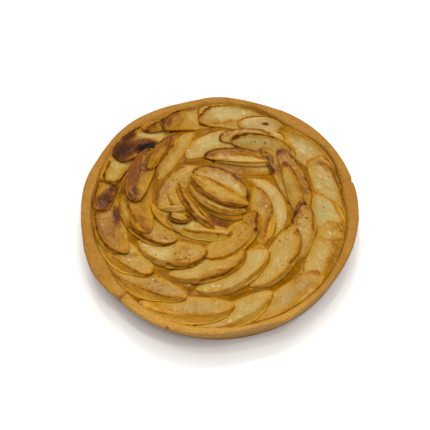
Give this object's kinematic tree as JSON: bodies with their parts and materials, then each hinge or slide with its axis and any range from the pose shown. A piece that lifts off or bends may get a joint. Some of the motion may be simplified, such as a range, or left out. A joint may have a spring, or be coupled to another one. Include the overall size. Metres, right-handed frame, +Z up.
{
  "type": "apple crostata",
  "caption": "Round open apple tart: low shortcrust case with baked apple slices laid in overlapping rings over jam, some of them browned and charred.",
  "frame": {"origin": "middle of the flat underside of the pastry case", "axes": "+Z up out of the filling, +Y towards the back of the tart as pictured, +X to its right"},
  "size_m": [0.2396, 0.2436, 0.0303],
  "materials": {
    "crust": "matt",
    "jam": "glossy",
    "apple": "glazed"
  },
  "bodies": {
    "root": {"crust": "crust", "jam": "jam", "slice_outer_01": "apple", "slice_outer_02": "apple", "slice_outer_03": "apple", "slice_outer_04": "apple", "slice_outer_05": "apple", "slice_outer_06": "apple", "slice_outer_07": "apple", "slice_outer_08": "apple", "slice_outer_09": "apple", "slice_outer_10": "apple", "slice_outer_11": "apple", "slice_outer_12": "apple", "slice_outer_13": "apple", "slice_outer_14": "apple", "slice_outer_15": "apple", "slice_outer_16": "apple", "slice_outer_17": "apple", "slice_middle_01": "apple", "slice_middle_02": "apple", "slice_middle_03": "apple", "slice_middle_04": "apple", "slice_middle_05": "apple", "slice_middle_06": "apple", "slice_middle_07": "apple", "slice_middle_08": "apple", "slice_middle_09": "apple", "slice_middle_10": "apple", "slice_middle_11": "apple", "slice_middle_12": "apple", "slice_middle_13": "apple", "slice_middle_14": "apple", "slice_middle_15": "apple", "slice_middle_16": "apple", "slice_inner_01": "apple", "slice_inner_02": "apple", "slice_inner_03": "apple", "slice_inner_04": "apple", "slice_inner_05": "apple", "slice_inner_06": "apple", "slice_inner_07": "apple", "slice_inner_08": "apple", "slice_inner_09": "apple", "slice_inner_10": "apple", "slice_inner_11": "apple", "slice_inner_12": "apple", "slice_inner_13": "apple", "slice_inner_14": "apple", "slice_inner_15": "apple", "slice_inner_16": "apple", "slice_inner_17": "apple"}
  },
  "joints": []
}
